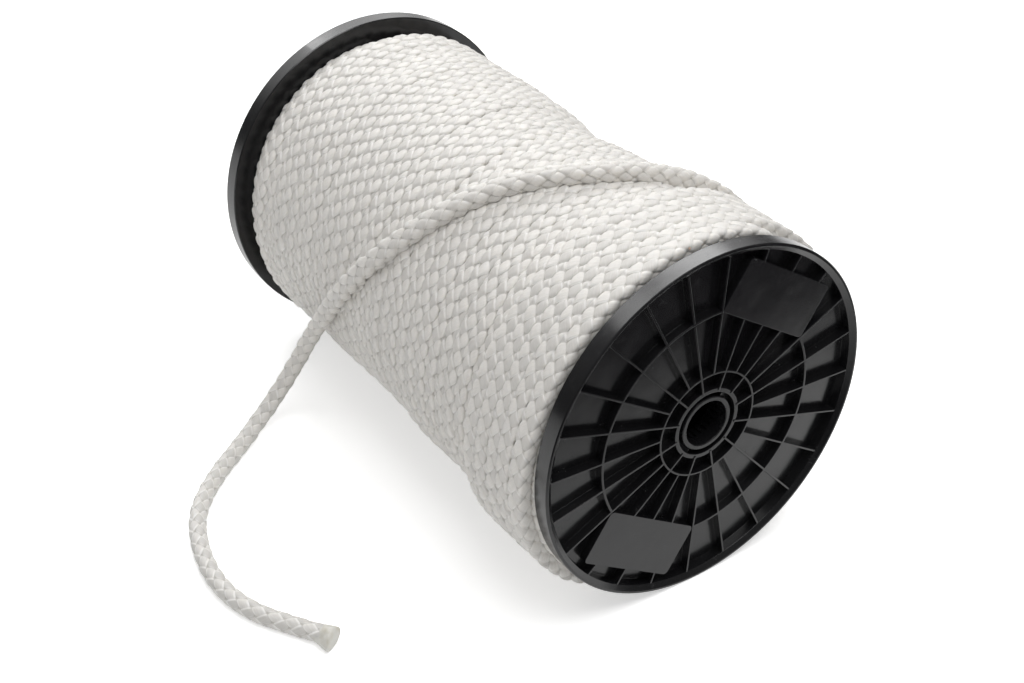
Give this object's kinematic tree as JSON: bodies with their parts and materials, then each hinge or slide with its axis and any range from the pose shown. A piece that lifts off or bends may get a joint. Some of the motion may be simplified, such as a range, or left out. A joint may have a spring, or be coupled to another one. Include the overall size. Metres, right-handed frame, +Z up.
{
  "type": "rope reel",
  "caption": "Supply reel on its side: two ribbed round flanges plugged on a core barrel, turning hub bushes, wound with braided rope whose free end hangs to the floor.",
  "frame": {"origin": "middle of the spool's axis, halfway between the flanges", "axes": "+Y along the spool's axis from the front flange to the rear flange, +Z up with the reel lying on its side, the free rope end on the -X side"},
  "size_m": [0.3207, 0.332, 0.2052],
  "materials": {
    "flange_plastic": "glossy black moulded plastic",
    "bush_plastic": "glossy black moulded plastic",
    "barrel_plastic": "plain black extruded tube",
    "rope": "white braided multifilament, slight silky sheen",
    "melted_rope": "melted and set rope end, slightly yellow"
  },
  "bodies": {
    "reel": {"front_flange": "flange_plastic", "rear_flange": "flange_plastic", "core_barrel": "barrel_plastic", "rope_inner_end": "rope", "rope_inner_layers": "rope", "rope_outer_layer": "rope", "rope_raised_turns": "rope", "rope_crossing_strand": "rope"},
    "front_bush": {"front_hub_bush": "bush_plastic"},
    "rear_bush": {"rear_hub_bush": "bush_plastic"},
    "hanging_tail": {"rope_hanging_tail": "rope"},
    "floor_tail": {"rope_floor_tail": "rope", "rope_sealed_end": "melted_rope"}
  },
  "joints": [
    {"name": "front_bush_lock", "type": "hinge", "parent": "reel", "child": "front_bush", "pos_m": [0, -0.16, 0], "axis": [0, -1, 0], "range_deg": [0, 40]},
    {"name": "rear_bush_lock", "type": "hinge", "parent": "reel", "child": "rear_bush", "pos_m": [0, 0.16, 0], "axis": [0, 1, 0], "range_deg": [0, 40]},
    {"name": "tail_lift", "type": "hinge", "parent": "reel", "child": "hanging_tail", "pos_m": [-0.097, 0.0568, -0.0222], "axis": [0, 1, 0], "range_deg": [0, 32]},
    {"name": "tail_sway", "type": "hinge", "parent": "hanging_tail", "child": "floor_tail", "pos_m": [-0.1223, 0.0828, -0.0877], "axis": [0, 0, 1], "range_deg": [-20, 20]}
  ]
}
